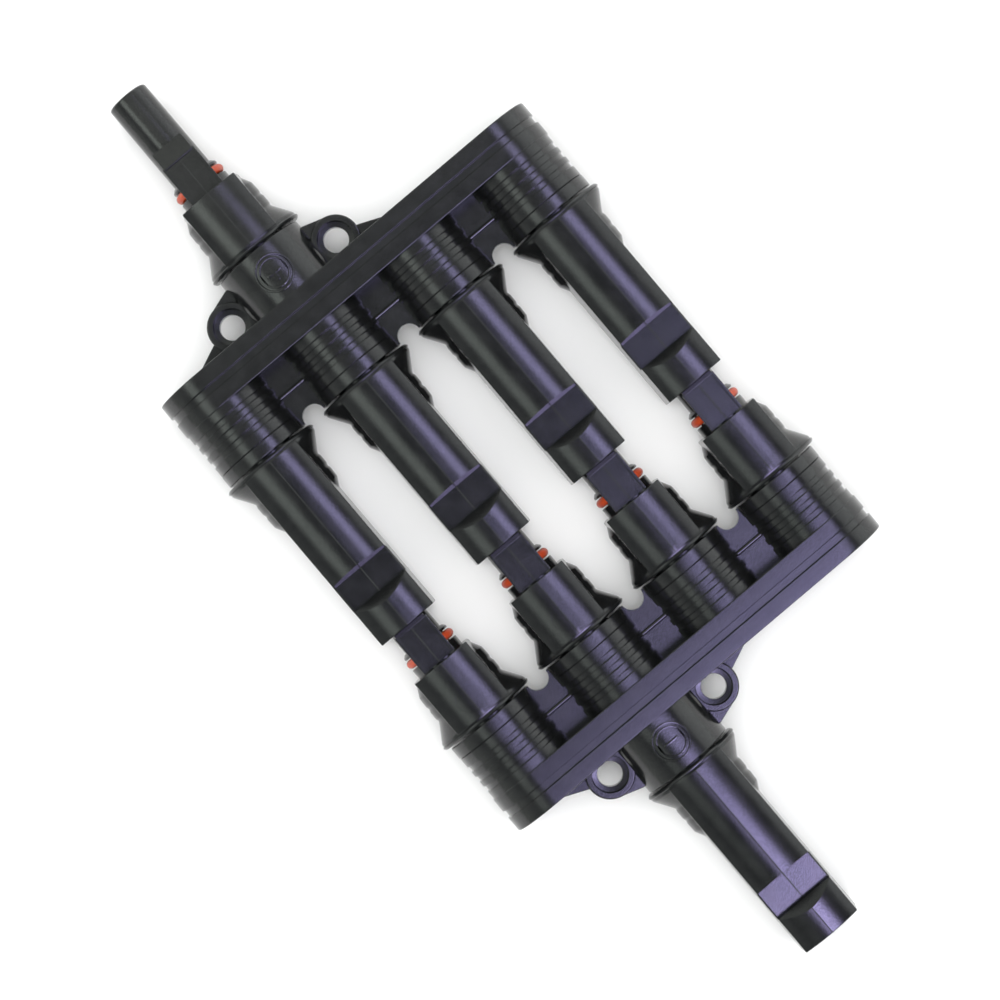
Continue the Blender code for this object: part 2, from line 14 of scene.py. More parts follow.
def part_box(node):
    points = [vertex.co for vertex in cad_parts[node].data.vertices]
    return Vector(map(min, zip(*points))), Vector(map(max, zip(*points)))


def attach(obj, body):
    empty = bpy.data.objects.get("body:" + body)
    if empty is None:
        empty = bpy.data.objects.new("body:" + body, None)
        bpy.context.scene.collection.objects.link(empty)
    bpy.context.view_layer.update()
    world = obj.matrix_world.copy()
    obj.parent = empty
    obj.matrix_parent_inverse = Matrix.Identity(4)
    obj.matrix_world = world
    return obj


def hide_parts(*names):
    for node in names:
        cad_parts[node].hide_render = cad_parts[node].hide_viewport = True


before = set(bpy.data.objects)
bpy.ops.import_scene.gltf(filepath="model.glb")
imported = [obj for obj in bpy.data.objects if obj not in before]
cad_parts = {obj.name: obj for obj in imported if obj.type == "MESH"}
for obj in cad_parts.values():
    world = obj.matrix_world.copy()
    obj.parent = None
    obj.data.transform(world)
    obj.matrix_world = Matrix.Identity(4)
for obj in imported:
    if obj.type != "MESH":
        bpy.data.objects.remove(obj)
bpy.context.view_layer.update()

MM = 0.001
ROUND_STEPS = 96
SMALL_STEPS = 64
FILLET_STEPS = 4
# How far a solid reaches into its neighbour, and a cutting solid past the surface that it cuts
OVERLAP = 2.0
SHORT_OVERLAP = 1.0
# Keeps two faces from lying in one plane
HAIR = 0.01


def frame_box(node):
    """A node's lowest and highest corners in millimetres."""
    return [[value / MM for value in corner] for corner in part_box(node)]


# ---------------------------------------------------------------- places, read from the frame

SHELLS = [frame_box(f"pin_branch_shell_{number}") for number in range(1, 5)]
PORT_XS = [(low[0] + high[0]) / 2 for low, high in SHELLS]
AXIS_HEIGHT = (SHELLS[0][0][2] + SHELLS[0][1][2]) / 2
TRUNK_X = PORT_XS[1]
PORT_PITCH = PORT_XS[1] - PORT_XS[0]
TAIL_LENGTH = 9.0
SPINE_YS = {}
TRUNK_RIMS = {}
PORT_RIMS = {}
for half, trunk_node, port_node, toward_trunk in (
    ("pin_branch", "pin_branch_trunk_housing", "pin_branch_shell_1", 1),
    ("socket_branch", "socket_branch_trunk_shell", "socket_branch_housing_1", -1),
):
    busbar = frame_box(half + "_busbar")
    SPINE_YS[half] = (busbar[0][1] + busbar[1][1]) / 2
    inner = 0 if toward_trunk > 0 else 1
    TRUNK_RIMS[half] = frame_box(trunk_node)[inner][1] + toward_trunk * TAIL_LENGTH
    PORT_RIMS[half] = frame_box(port_node)[1 - inner][1] - toward_trunk * TAIL_LENGTH

# ---------------------------------------------------------------- dimensions of the pieces

# Spine and barrels
SPINE_DEPTH = 9.0
SPINE_RADIUS = AXIS_HEIGHT
SPINE_FLANGE = 3.65
SPINE_BAND = 3.45
SPINE_GROOVE_DEPTH = 0.5
SPINE_GROOVE_SLOPE = 0.15
PORT_BARREL_LENGTH = 14.5
TRUNK_BARREL_LENGTH = 12.3
RIB_RADIUS = 10.7
RIB_DEPTH = 0.4
RIB_PITCH = 2.77
GROOVE_COUNT = 3
GROOVE_SLOPE = 0.12
FIRST_GROOVE = 2.1
GROOVE_WIDTH = 1.4
LINE_AT = 11.5
LINE_DEPTH = 0.15
BAND_RADIUS = RIB_RADIUS + 0.1
TRUNK_BARREL_RADIUS = 10.95
TAIL_RADIUS = 7.0
JOIN_GAP = 0.3

# Webs and ears
WEB_LENGTH = 14.3
WEB_THICKNESS = 3.0
WEB_RIB_AT = 6.1
WEB_RIB_WIDTH = 1.0
WEB_RIB_THICKNESS = 4.8
WEB_RIB_ROUNDING = 0.45
WEB_NOTCH_RADIUS = 2.7
EAR_HOLE_X = 15.0
EAR_HOLE_OUT = 3.3
EAR_HOLE_RADIUS = 2.85
EAR_SINK_RADIUS = 4.05
EAR_SINK_DEPTH = 1.3
EAR_SINK_DRAFT = 0.2
EAR_BOSS_RADIUS = 5.6
EAR_BOSS_THICKNESS = 6.0
EAR_THICKNESS = 4.4
EAR_ROOT_X = 9.0
EAR_CORNER = (11.1, 10.4)
EAR_TANGENT = math.radians(70)
EAR_SHOULDER = (18.0, 4.1)
GUSSET_END_X = 27.6

# Raised mark on each trunk barrel
MARK_RADII = (4.45, 3.55)
MARK_STROKE = 0.42
MARK_BAR_WIDTH = 0.6
MARK_BAR_HALF = 1.9
MARK_HEIGHT = 0.34
MARK_EDGE = 0.07
MARK_OUT = 5.8

# Outer form of the shells and housings
FORM_EDGE_X = 7.3
FORM_MIDDLE_X = 7.8
FORM_EDGE_Y = 8.5
FORM_CROWN_Y = 10.8
FORM_EDGE_ROUNDING = 0.35
FORM_END_ROUNDING = 0.22
CROWN_TILT = math.radians(1.8)
CROWN_STEPS = 20
SEAM_HALF_WIDTH = 0.11
SEAM_HEIGHT = 0.07
NECK_SCALE = 0.94
WING_FLATTENING = 0.87
WING_TIP = 12.4
RIM_LOW = 0.45
RIM_HIGH = 1.3
RIM_GROOVE = 0.3
# Both are turned round the port's axis, and their corners are (radius, height, rounding)
RIM_PROFILE = (
    (0, RIM_HIGH, 0),
    (WING_TIP, RIM_HIGH, 0.3),
    (WING_TIP - 0.7, RIM_LOW, 0.35),
    (0, RIM_LOW, 0),
)
WING_PROFILE = (
    (0, 16.1, 0),
    (7.35, 16.1, 0.2),
    (9.0, 13.0, 0.8),
    (9.1, 10.6, 0.5),
    (8.85, 9.85, 0.5),
    (9.15, 9.1, 0.5),
    (9.15, 7.1, 0.5),
    (8.9, 6.5, 0.5),
    (9.3, 5.8, 0.5),
    (WING_TIP - 0.55, RIM_HIGH + 0.55, 0.9),
    (WING_TIP - 0.75, RIM_HIGH - 0.4, 0),
    (0, RIM_HIGH - 0.4, 0),
)

# Shells. A chamfer is (across the axis, along it)
SHELL_LENGTH = 48.2
WINDOW_HIGH = SHELL_LENGTH - 9.55
WINDOW_LOW = WINDOW_HIGH - 6.75
WINDOW_RAKE = 0.85
WINDOW_FLOOR = 6.1
WINDOW_LIP = 0.05
WINDOW_SEAM_START = 0.5
WINDOW_SEAM_HEIGHT = 0.1
WINDOW_SEAM_ROOT = 0.3
SILL_WIDTH = 0.25
SILL_DROP = 0.75
RAMP_RUN = 2.4
SLOT_HALF_WIDTH = 4.65
SLOT_FLOOR = 6.0
SLOT_CEILING = 8.42
SLOT_ROUNDING = 0.3
PROBE_BORE_RADIUS = 5.15
PROBE_BORE_DEPTH = 29.6
SEAT_RADIUS = 6.75
SEAT_DEPTH = 6.7
SEAT_CHAMFER = (0.3, 0.4)
PIN_HOLE_RADIUS = 2.3
PIN_HOLE_LENGTH = 2.0

# Housings and probes
HOUSING_LENGTH = 16.3
PROBE_LENGTH = 28.8
PROBE_RADIUS = 4.9
PROBE_DRAFT = 0.02
PROBE_ROOT_RADIUS = 6.2
PROBE_ROOT_LENGTH = 2.4
PROBE_FLANGE_RADIUS = 6.0
PROBE_FLANGE_LOW = 5.0
PROBE_FLANGE_HIGH = 6.2
PROBE_FLANGE_CHAMFER = 0.7
SEAL_GROOVE_RADIUS = 4.2
PROBE_LIP_RADIUS = 2.5
PROBE_LIP_LENGTH = 0.8
PROBE_LIP_CHAMFER = (0.35, 0.4)
CONTACT_BORE_RADIUS = 3.45
SEAL_RADIUS = 5.45
SEAL_SECTION_RADIUS = 1.0
SEAL_SECTION_STEPS = 24
SEAL_AT = 3.7
SPOT_RADIUS = 3.15
SPOT_LINE = 0.25
SPOT_DEPTH = 0.12
SPOT_AT = 6.3

# Latch fingers
FINGER_WIDTH = 8.7
FINGER_LENGTH = 14.4
FINGER_START = 0.3
FINGER_UNDER = 6.95
FINGER_TOP = 8.0
FINGER_RAIL = 0.6
FINGER_RAIL_SLOPE = 0.12
FINGER_TRAY = 0.2
FINGER_SEAM_HEIGHT = 0.08
FINGER_BARB_AT = 9.8
FINGER_BARB_TOP = 8.3
FINGER_BARB_CREST = 0.4
FINGER_BARB_INSET = 0.35
FINGER_TIP_TOP = 7.3

# Contacts
PIN_RADIUS = 2.0
PIN_TIP_RADIUS = 1.1
PIN_TIP_LENGTH = 1.6
PIN_RECESS = 10.0
PIN_COLLAR_RADIUS = 3.0
LEAD_RADIUS = 1.8
SOCKET_RADIUS = 3.2
SOCKET_FLOOR = 3.0
SOCKET_BORE_RADIUS = 2.35
SOCKET_BORE_DEPTH = 20.0
SOCKET_CHAMFER = (0.3, 0.4)
BAND_GROOVE_RADIUS = 2.75
BAND_AT = 5.0
BAND_LENGTH = 8.0
BUSBAR_HALF_DEPTH = 1.0
CAVITY_HALF = (44.2, 2.7, 2.9)

# ---------------------------------------------------------------- making solids


def rounded(corners, closed=False, steps=FILLET_STEPS):
    """A flat line through corners (a, b, radius), with each corner rounded to its radius."""
    line = []
    last = len(corners) - 1
    for number, (a, b, radius) in enumerate(corners):
        here = Vector((a, b))
        if radius == 0 or (not closed and number in (0, last)):
            line.append((a, b))
            continue
        before = Vector(corners[number - 1][:2]) - here
        after = Vector(corners[number + 1 if number < last else 0][:2]) - here
        half = before.angle(after) / 2
        reach = min(radius / math.tan(half), before.length * 0.48, after.length * 0.48)
        before.normalize()
        after.normalize()
        centre = here + (before + after).normalized() * (reach / math.cos(half))
        start = here + before * reach - centre
        end = here + after * reach - centre
        turn = start.angle(end)
        for step in range(steps + 1):
            share = step / steps
            arm = start * math.sin((1 - share) * turn) + end * math.sin(share * turn)
            line.append(tuple(centre + arm / math.sin(turn)))
    return line


def rectangle(low, high, radius=0.0):
    """The outline between two opposite corners (a, b), with all four corners rounded."""
    corners = [(low[0], low[1]), (high[0], low[1]), (high[0], high[1]), (low[0], high[1])]
    return rounded([(a, b, radius) for a, b in corners], closed=True)


def solid(shape, name):
    """Puts a bmesh into the scene as an object, with its faces pointing out."""
    bmesh.ops.recalc_face_normals(shape, faces=shape.faces)
    mesh = bpy.data.meshes.new(name)
    shape.to_mesh(mesh)
    shape.free()
    made = bpy.data.objects.new(name, mesh)
    bpy.context.scene.collection.objects.link(made)
    return made


def loft(name, rings):
    """A closed solid through rings that have the same number of points, with a flat cap on each end."""
    shape = bmesh.new()
    rows = [[shape.verts.new(point) for point in ring] for ring in rings]
    count = len(rows[0])
    for low, high in zip(rows, rows[1:]):
        for number in range(count):
            after = (number + 1) % count
            shape.faces.new((low[number], low[after], high[after], high[number]))
    shape.faces.new(rows[0][::-1])
    shape.faces.new(rows[-1])
    return solid(shape, name)


def turned(name, corners, steps=ROUND_STEPS, flattening=1.0):
    """A solid turned round Z from (radius, height, rounding) corners, which start and end on the axis."""
    profile = [(radius, height) for radius, height in rounded(corners) if radius > 0.0001]
    angles = [math.tau * step / steps for step in range(steps)]
    rings = []
    for radius, height in profile:
        ring = [(radius * math.cos(a), radius * math.sin(a) * flattening, height) for a in angles]
        rings.append(ring)
    return loft(name, rings)


def plug(name, radius, low, high, rounding=0.0, steps=ROUND_STEPS):
    corners = [(0, high, 0), (radius, high, rounding), (radius, low, rounding), (0, low, 0)]
    return turned(name, corners, steps)


def prism(name, outline, low, high, along="Z", rounding=0.0):
    """An outline given thickness, with its two end edges rounded. Along Z its points are (x, y), along X
    (z, y) and along Y (x, z)."""
    middle = (low + high) / 2
    half = (high - low) / 2
    levels = [(0.0, -half), (0.0, half)]
    if rounding:
        angles = [math.pi / 2 * step / FILLET_STEPS for step in range(FILLET_STEPS + 1)]
        rise = [(rounding * (1 - math.sin(a)), half - rounding * (1 - math.cos(a))) for a in angles]
        levels = [(inset, -level) for inset, level in rise] + [(inset, level) for inset, level in rise[::-1]]
    rings = []
    for inset, level in levels:
        ring = []
        for a, b in inset_outline(outline, inset):
            point = {"Z": (a, b, middle + level), "X": (middle + level, b, a), "Y": (a, middle + level, b)}
            ring.append(point[along])
        rings.append(ring)
    return loft(name, rings)


def inset_outline(outline, inset):
    """The outline moved inwards by a small distance."""
    if inset == 0:
        return outline
    area = sum(a[0] * b[1] - b[0] * a[1] for a, b in zip(outline, outline[1:] + outline[:1]))
    side = 1 if area > 0 else -1
    inner = []
    for number, point in enumerate(outline):
        here = Vector(point)
        before = here - Vector(outline[number - 1])
        after = Vector(outline[(number + 1) % len(outline)]) - here
        before.normalize()
        after.normalize()
        normal = Vector((-before.y - after.y, before.x + after.x)).normalized()
        reach = inset / max(0.3, normal.dot(Vector((-before.y, before.x))))
        inner.append(tuple(here + normal * (side * reach)))
    return inner


def box(name, low, high):
    return prism(name, rectangle(low, high), low[2], high[2])


def moved(made, x=0.0, y=0.0, z=0.0):
    made.data.transform(Matrix.Translation((x, y, z)))
    return made


def laid(made, direction):
    """Lays an upright solid down, so that its Z points along +Y or -Y."""
    made.data.transform(Matrix.Rotation(-direction * math.pi / 2, 4, "X"))
    return made


def applied(base):
    """Turns an object's modifiers into its mesh."""
    bpy.context.view_layer.update()
    graph = bpy.context.evaluated_depsgraph_get()
    mesh = bpy.data.meshes.new_from_object(base.evaluated_get(graph))
    base.modifiers.clear()
    base.data = mesh
    return base


def merged(base, joined=(), cut=(), added=(), within=(), edge=0.0):
    """The base with solids joined to it, others cut away, more added and the whole kept within others, with
    its edges rounded."""
    steps = (("UNION", joined), ("DIFFERENCE", cut), ("UNION", added), ("INTERSECT", within))
    for operation, others in steps:
        for other in others:
            change = base.modifiers.new(other.name, "BOOLEAN")
            change.operation = operation
            change.solver = "EXACT"
            change.object = other
    if edge:
        bevel = base.modifiers.new("edges", "BEVEL")
        bevel.width = edge
        bevel.segments = 2
        bevel.limit_method = "ANGLE"
        bevel.angle_limit = math.radians(40)
        bevel.use_clamp_overlap = False
    applied(base)
    for helper in [*joined, *cut, *added, *within]:
        bpy.data.objects.remove(helper)
    return base


def finished(base):
    """The solid's mesh in metres, smooth but for its sharp edges. Its large faces keep their normals."""
    base.data.transform(Matrix.Scale(MM, 4))
    base.data.shade_smooth()
    base.data.set_sharp_from_angle(angle=math.radians(28))
    weighting = base.modifiers.new("weighting", "WEIGHTED_NORMAL")
    weighting.weight = 100
    weighting.keep_sharp = True
    mesh = applied(base).data
    bpy.data.objects.remove(base)
    return mesh


# ---------------------------------------------------------------- the branch body


def stadium(radius):
    """The spine's outline in (x, z): straight top and bottom, round ends about the outer ports."""
    steps = ROUND_STEPS // 2
    points = []
    for side in (1, -1):
        for step in range(steps + 1):
            angle = math.pi * step / steps - side * math.pi / 2
            x = side * PORT_XS[-1] + radius * math.cos(angle)
            points.append((x, radius * math.sin(angle)))
    return points


def spine():
    """Along X, with its trunk side at +Y: a flange, a shallow groove and a band."""
    half = SPINE_DEPTH / 2
    groove_high = half - SPINE_FLANGE
    groove_low = SPINE_BAND - half
    floor = SPINE_RADIUS - SPINE_GROOVE_DEPTH
    corners = [
        (0, half, 0),
        (SPINE_RADIUS, half, 0.3),
        (SPINE_RADIUS, groove_high, 0.12),
        (floor, groove_high - SPINE_GROOVE_SLOPE, 0.1),
        (floor, groove_low + SPINE_GROOVE_SLOPE, 0.1),
        (SPINE_RADIUS, groove_low, 0.12),
        (SPINE_RADIUS, -half, 0.25),
        (0, -half, 0),
    ]
    profile = [point for point in rounded(corners) if point[0] > 0.0001]
    rings = [[(x, y, z) for x, z in stadium(radius)] for radius, y in profile]
    return loft("spine", rings)


def port_barrel(number):
    """Three grooves near the spine, then a wide band that stands out a little at its end."""
    root = -PORT_BARREL_LENGTH
    line = root + LINE_AT
    corners = [
        (0, 0, 0),
        (BAND_RADIUS, 0, 0.25),
        (BAND_RADIUS, line + LINE_DEPTH, 0.05),
        (RIB_RADIUS - LINE_DEPTH, line, 0),
        (RIB_RADIUS, line - LINE_DEPTH, 0.05),
    ]
    for groove in reversed(range(GROOVE_COUNT)):
        low = root + FIRST_GROOVE + groove * RIB_PITCH
        high = low + GROOVE_WIDTH
        corners += [
            (RIB_RADIUS, high, 0.14),
            (RIB_RADIUS - RIB_DEPTH, high - GROOVE_SLOPE, 0.1),
            (RIB_RADIUS - RIB_DEPTH, low + GROOVE_SLOPE, 0.1),
            (RIB_RADIUS, low, 0.14),
        ]
    corners += [(RIB_RADIUS, root - OVERLAP, 0), (0, root - OVERLAP, 0)]
    barrel = laid(turned(f"port_barrel_{number}", corners), -1)
    return moved(barrel, x=PORT_XS[number], y=-SPINE_DEPTH / 2 - PORT_BARREL_LENGTH)


def trunk_barrel():
    low = -TRUNK_BARREL_LENGTH - OVERLAP
    barrel = laid(plug("trunk_barrel", TRUNK_BARREL_RADIUS, low, 0.0, 0.3), 1)
    return moved(barrel, x=TRUNK_X, y=SPINE_DEPTH / 2 + TRUNK_BARREL_LENGTH)


def web(number):
    """A plate between two port barrels, with a rib across it and a round notch in its edge."""
    middle = (PORT_XS[number] + PORT_XS[number + 1]) / 2
    reach = PORT_PITCH / 2 - RIB_RADIUS + RIB_DEPTH + OVERLAP
    low = middle - reach
    high = middle + reach
    root = -SPINE_DEPTH / 2
    outline = rectangle((low, root - WEB_LENGTH), (high, root + OVERLAP))
    plate = prism(f"web_{number}", outline, -WEB_THICKNESS / 2, WEB_THICKNESS / 2, "Z", 0.2)
    half = WEB_RIB_THICKNESS / 2
    edge = root - WEB_RIB_AT
    section = rectangle((-half, edge - WEB_RIB_WIDTH), (half, edge), WEB_RIB_ROUNDING)
    rib = prism(f"web_rib_{number}", section, low, high, "X")
    notch = plug(f"web_notch_{number}", WEB_NOTCH_RADIUS, -WEB_THICKNESS, WEB_THICKNESS, steps=SMALL_STEPS)
    return plate, rib, moved(notch, x=middle, y=root - WEB_LENGTH)


def ear(side):
    """A plate with a boss, whose hole has a shallow sink on both faces."""
    edge = SPINE_DEPTH / 2
    boss_x = EAR_HOLE_X + EAR_BOSS_RADIUS * math.cos(EAR_TANGENT)
    boss_y = EAR_HOLE_OUT + EAR_BOSS_RADIUS * math.sin(EAR_TANGENT)
    corners = [(EAR_ROOT_X, -OVERLAP), (EAR_ROOT_X, EAR_CORNER[1]), EAR_CORNER, (boss_x, boss_y)]
    corners += [EAR_SHOULDER, (GUSSET_END_X, 0.0), (GUSSET_END_X, -OVERLAP)]
    outline = [(TRUNK_X + side * x, edge + y) for x, y in corners]
    plate = prism(f"ear_{side}", outline, -EAR_THICKNESS / 2, EAR_THICKNESS / 2, "Z", 0.25)
    half = EAR_BOSS_THICKNESS / 2
    boss = plug(f"ear_boss_{side}", EAR_BOSS_RADIUS, -half, half, 0.4)
    sink = half - EAR_SINK_DEPTH
    mouth = EAR_SINK_RADIUS + EAR_SINK_DRAFT
    corners = [(0, half + SHORT_OVERLAP, 0), (mouth, half + SHORT_OVERLAP, 0), (mouth, half, 0)]
    corners += [(EAR_SINK_RADIUS, sink, 0.1), (EAR_HOLE_RADIUS, sink, 0.1)]
    corners += [(radius, -height, rounding) for radius, height, rounding in corners[::-1]]
    hole = turned(f"ear_hole_{side}", corners)
    for piece in (boss, hole):
        moved(piece, x=TRUNK_X + side * EAR_HOLE_X, y=edge + EAR_HOLE_OUT)
    return plate, boss, hole


def barrel_bore(name, x, rim, direction):
    """The hole for a port piece's tail, and the narrower one for its lead."""
    tail = TAIL_RADIUS + JOIN_GAP
    lead = LEAD_RADIUS + JOIN_GAP
    floor = -TAIL_LENGTH - JOIN_GAP
    end = CAVITY_HALF[1] / 2 - rim
    corners = [(0, OVERLAP, 0), (tail, OVERLAP, 0), (tail, floor, 0), (lead, floor, 0)]
    corners += [(lead, end, 0), (0, end, 0)]
    return moved(laid(turned(name, corners, SMALL_STEPS), direction), x=x, y=direction * rim)


def polarity_mark(is_plus):
    """Two raised rings with a plus or a minus in them, which follow the top of the trunk barrel."""
    low = TRUNK_BARREL_RADIUS - OVERLAP
    high = TRUNK_BARREL_RADIUS + OVERLAP
    rings = []
    for radius in MARK_RADII:
        ring = plug("mark_ring", radius, low, high, steps=SMALL_STEPS)
        inner = radius - MARK_STROKE
        inside = plug("mark_inside", inner, low - SHORT_OVERLAP, high + SHORT_OVERLAP, steps=SMALL_STEPS)
        rings.append(merged(ring, cut=[inside]))
    half = MARK_BAR_WIDTH / 2
    bars = [box("mark_bar", (-MARK_BAR_HALF, -half, low), (MARK_BAR_HALF, half, high))]
    if is_plus:
        bars.append(box("mark_upright", (-half, -MARK_BAR_HALF, low), (half, MARK_BAR_HALF, high)))
    length = TRUNK_BARREL_LENGTH
    reach = laid(plug("mark_reach", TRUNK_BARREL_RADIUS + MARK_HEIGHT, -length, length), 1)
    return finished(merged(rings[0], added=[rings[1], *bars], within=[reach], edge=MARK_EDGE))


def branch_body():
    """One moulding: the spine, its barrels, webs and ears, with the busbar's cavity and the bores."""
    joined = [trunk_barrel()]
    trunk_rim = SPINE_DEPTH / 2 + TRUNK_BARREL_LENGTH
    port_rim = SPINE_DEPTH / 2 + PORT_BARREL_LENGTH
    cut = [barrel_bore("trunk_bore", TRUNK_X, trunk_rim, 1)]
    for number, x in enumerate(PORT_XS):
        joined.append(port_barrel(number))
        cut.append(barrel_bore(f"port_bore_{number}", x, port_rim, -1))
    for number in range(len(PORT_XS) - 1):
        plate, rib, notch = web(number)
        joined += [plate, rib]
        cut.append(notch)
    for side in (1, -1):
        plate, boss, hole = ear(side)
        joined += [plate, boss]
        cut.append(hole)
    cut.append(box("busbar_cavity", [-half for half in CAVITY_HALF], CAVITY_HALF))
    return finished(merged(spine(), joined, cut))


# ---------------------------------------------------------------- shells and housings


def crown_half():
    """Half of the crown in (x, y), from its middle to its edge. It leaves the middle at a slight slope."""
    chord = math.atan2(FORM_CROWN_Y - FORM_EDGE_Y, FORM_EDGE_X)
    end = 2 * chord - CROWN_TILT
    length = math.hypot(FORM_CROWN_Y - FORM_EDGE_Y, FORM_EDGE_X)
    radius = length / (2 * math.sin((end - CROWN_TILT) / 2))
    points = []
    for step in range(1, CROWN_STEPS):
        angle = CROWN_TILT + (end - CROWN_TILT) * step / CROWN_STEPS
        x = radius * (math.sin(angle) - math.sin(CROWN_TILT))
        points.append((x, FORM_CROWN_Y - radius * (math.cos(CROWN_TILT) - math.cos(angle))))
    return points


def form_outline():
    """The closed outline of a shell or housing in (x, y), with a fine seam along the middle of each crown."""
    crown = [(x, y, 0) for x, y in crown_half()]
    seam_foot = (SEAM_HALF_WIDTH, FORM_CROWN_Y - SEAM_HALF_WIDTH * math.tan(CROWN_TILT), 0)
    edge = (FORM_EDGE_X, FORM_EDGE_Y, FORM_EDGE_ROUNDING)
    quarter = [(FORM_MIDDLE_X, 0.0, 0), edge, *crown[::-1], seam_foot]
    top = quarter + [(0.0, FORM_CROWN_Y + SEAM_HEIGHT, 0)]
    top += [(-x, y, r) for x, y, r in quarter[::-1]]
    bottom = [(-x, -y, r) for x, y, r in top[1:-1]]
    return rounded(top + bottom, closed=True)


def winged_form(name, length):
    """The crowned block, and what is joined to it: neck, rim, grip wings and the tail inside the barrel."""
    outline = form_outline()
    block = prism(name, outline, RIM_HIGH + RIM_GROOVE, length, "Z", FORM_END_ROUNDING)
    neck_outline = [(x * NECK_SCALE, y * NECK_SCALE) for x, y in outline]
    joined = [
        prism(name + "_neck", neck_outline, RIM_LOW + 0.1, RIM_HIGH + OVERLAP),
        turned(name + "_rim", RIM_PROFILE, ROUND_STEPS, WING_FLATTENING),
        turned(name + "_wing", WING_PROFILE, ROUND_STEPS, WING_FLATTENING),
        plug(name + "_tail", TAIL_RADIUS, -TAIL_LENGTH, RIM_HIGH + OVERLAP),
    ]
    return block, joined


def window_outline():
    """In (z, y): one end leans outwards, and the other is a ramp down to the lip over the latch slot."""
    above = FORM_CROWN_Y + OVERLAP
    lip = SLOT_CEILING + WINDOW_LIP
    slope = RAMP_RUN / (FORM_CROWN_Y - FORM_EDGE_Y)
    rake = WINDOW_RAKE / (FORM_CROWN_Y - WINDOW_FLOOR)
    return [
        (WINDOW_LOW, WINDOW_FLOOR),
        (WINDOW_HIGH, WINDOW_FLOOR),
        (WINDOW_HIGH, lip),
        (WINDOW_HIGH + (above - lip) * slope, above),
        (WINDOW_LOW - (above - WINDOW_FLOOR) * rake, above),
    ]


def latch_cutters(side):
    """What one latch needs: its window, the slot to the shell's mouth, and a chamfer on each sill."""
    outline = [(z, side * y) for z, y in window_outline()]
    window = prism(f"window_{side}", outline, -2 * FORM_MIDDLE_X, 2 * FORM_MIDDLE_X, "X")
    low, high = sorted((side * SLOT_FLOOR, side * SLOT_CEILING))
    slot_outline = rectangle((-SLOT_HALF_WIDTH, low), (SLOT_HALF_WIDTH, high), SLOT_ROUNDING)
    slot = prism(f"slot_{side}", slot_outline, WINDOW_HIGH - 0.05, SHELL_LENGTH + OVERLAP)
    cutters = [window, slot]
    floor = side * (WINDOW_FLOOR + 0.02)
    drop = side * (WINDOW_FLOOR - SILL_DROP)
    for hand in (1, -1):
        inner = hand * (FORM_EDGE_X - SILL_WIDTH)
        outer = hand * (FORM_MIDDLE_X + 0.2)
        edge = [(inner, floor), (outer, floor), (outer, drop)]
        cutters.append(prism(f"sill_{side}_{hand}", edge, WINDOW_LOW, WINDOW_HIGH))
    return cutters


def window_seam(side):
    """The fine seam on the window's floor."""
    foot = side * WINDOW_FLOOR
    ridge = [
        (-SEAM_HALF_WIDTH, foot),
        (0.0, foot + side * WINDOW_SEAM_HEIGHT),
        (SEAM_HALF_WIDTH, foot),
        (0.0, foot - side * WINDOW_SEAM_ROOT),
    ]
    return prism(f"seam_{side}", ridge, WINDOW_LOW - WINDOW_SEAM_START, WINDOW_HIGH - HAIR)


def shell_bore():
    """From the mouth: the seal's seat, the probe's bore, the pin's hole and the room for its collar."""
    top = SHELL_LENGTH + OVERLAP
    mouth = SEAT_RADIUS + SEAT_CHAMFER[0]
    seat = SHELL_LENGTH - SEAT_DEPTH
    bore = SHELL_LENGTH - PROBE_BORE_DEPTH
    rear = bore - PIN_HOLE_LENGTH
    rear_radius = PIN_COLLAR_RADIUS + JOIN_GAP
    low = -TAIL_LENGTH - OVERLAP
    corners = [
        (0, top, 0),
        (mouth, top, 0),
        (mouth, SHELL_LENGTH, 0),
        (SEAT_RADIUS, SHELL_LENGTH - SEAT_CHAMFER[1], 0),
        (SEAT_RADIUS, seat, 0.1),
        (PROBE_BORE_RADIUS, seat, 0.3),
        (PROBE_BORE_RADIUS, bore, 0),
        (PIN_HOLE_RADIUS, bore, 0),
        (PIN_HOLE_RADIUS, rear, 0),
        (rear_radius, rear, 0),
        (rear_radius, low, 0),
        (0, low, 0),
    ]
    return turned("shell_bore", corners)


def pin_shell():
    block, wings = winged_form("pin_shell", SHELL_LENGTH)
    cut = [*latch_cutters(1), *latch_cutters(-1), shell_bore()]
    return finished(merged(block, wings, cut, [window_seam(1), window_seam(-1)]))


def probe():
    """From the tip: the round probe, its flange, the seal's groove and the root in the housing."""
    face = HOUSING_LENGTH
    tip = face + PROBE_LENGTH
    root_high = face + PROBE_ROOT_LENGTH
    flange_low = face + PROBE_FLANGE_LOW
    flange_high = face + PROBE_FLANGE_HIGH
    corners = [
        (0, tip, 0),
        (PROBE_RADIUS, tip, 0.6),
        (PROBE_RADIUS + PROBE_DRAFT, flange_high + 0.05, 0.1),
        (PROBE_FLANGE_RADIUS - PROBE_FLANGE_CHAMFER, flange_high, 0.2),
        (PROBE_FLANGE_RADIUS, flange_high - PROBE_FLANGE_CHAMFER, 0.2),
        (PROBE_FLANGE_RADIUS, flange_low, 0.15),
        (SEAL_GROOVE_RADIUS, flange_low, 0.1),
        (SEAL_GROOVE_RADIUS, root_high, 0.1),
        (PROBE_ROOT_RADIUS, root_high, 0.15),
        (PROBE_ROOT_RADIUS, face - OVERLAP, 0),
        (0, face - OVERLAP, 0),
    ]
    return turned("probe", corners)


